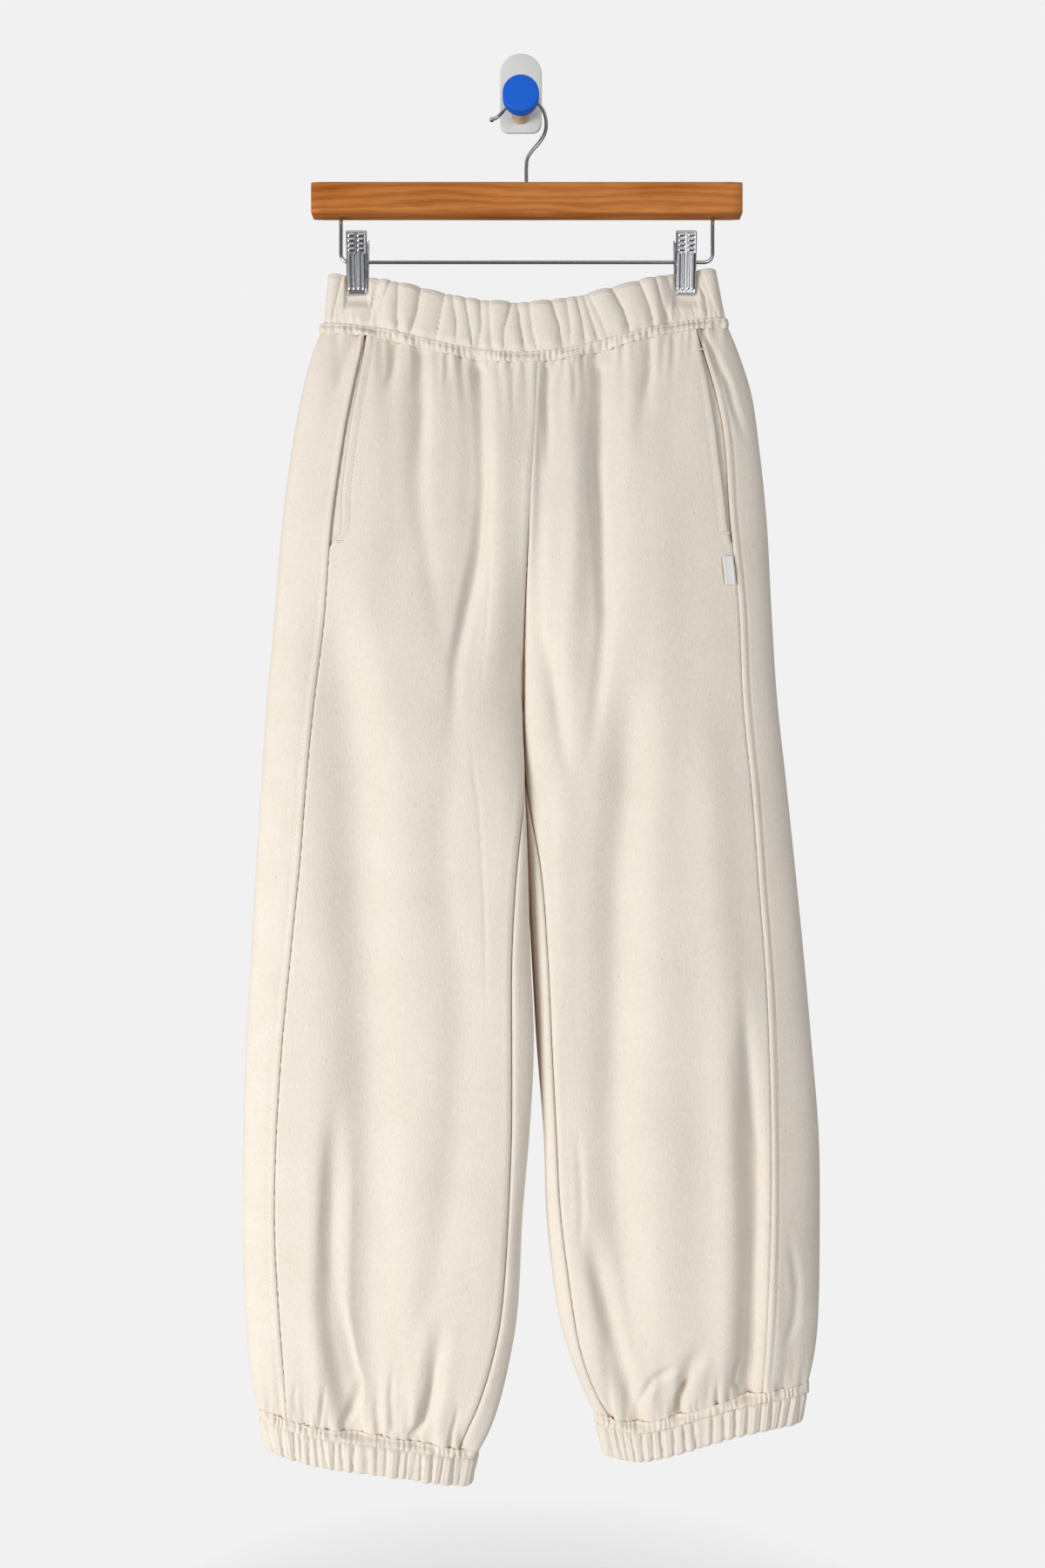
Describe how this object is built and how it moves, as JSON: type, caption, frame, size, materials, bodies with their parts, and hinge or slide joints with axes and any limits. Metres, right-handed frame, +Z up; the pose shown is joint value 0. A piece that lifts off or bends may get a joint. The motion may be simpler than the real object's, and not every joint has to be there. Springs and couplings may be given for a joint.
{
  "type": "balloon pants on a clip hanger and wall hook",
  "caption": "Balloon sweatpants with gathered elastic waist and cuffs, hung flat by the waistband from a wooden clip hanger on a round-knobbed wall hook.",
  "frame": {"origin": "middle of the wall plate's back face, where the wall holds the hook", "axes": "+X to the right seen from the front, +Y back into the wall, +Z up"},
  "size_m": [0.4788, 0.0585, 1.2025],
  "materials": {
    "fleece": "brushed fleece, cream with faint natural specks, matt",
    "label": "bare woven satin tape",
    "bar_wood": "satin lacquered cherry",
    "wire": "bright wire",
    "clip_metal": "pressed plated sheet",
    "plate_plastic": "smooth pale grey",
    "peg_wood": "plain turned beech",
    "knob_paint": "satin blue paint"
  },
  "bodies": {
    "root": {"waistband": "fleece", "front_panel_left": "fleece", "front_panel_right": "fleece", "side_panel_left": "fleece", "side_panel_right": "fleece", "back_panel_left": "fleece", "back_panel_right": "fleece", "pocket_facing_left": "fleece", "pocket_facing_right": "fleece", "cuff_left": "fleece", "cuff_right": "fleece", "side_label": "label", "hanger_bar": "bar_wood", "hanger_hook": "wire", "clip_wire": "wire", "clip_left_front": "clip_metal", "clip_left_back": "clip_metal", "clip_right_front": "clip_metal", "clip_right_back": "clip_metal", "wall_plate": "plate_plastic", "wall_peg": "peg_wood", "wall_knob": "knob_paint"}
  },
  "joints": []
}
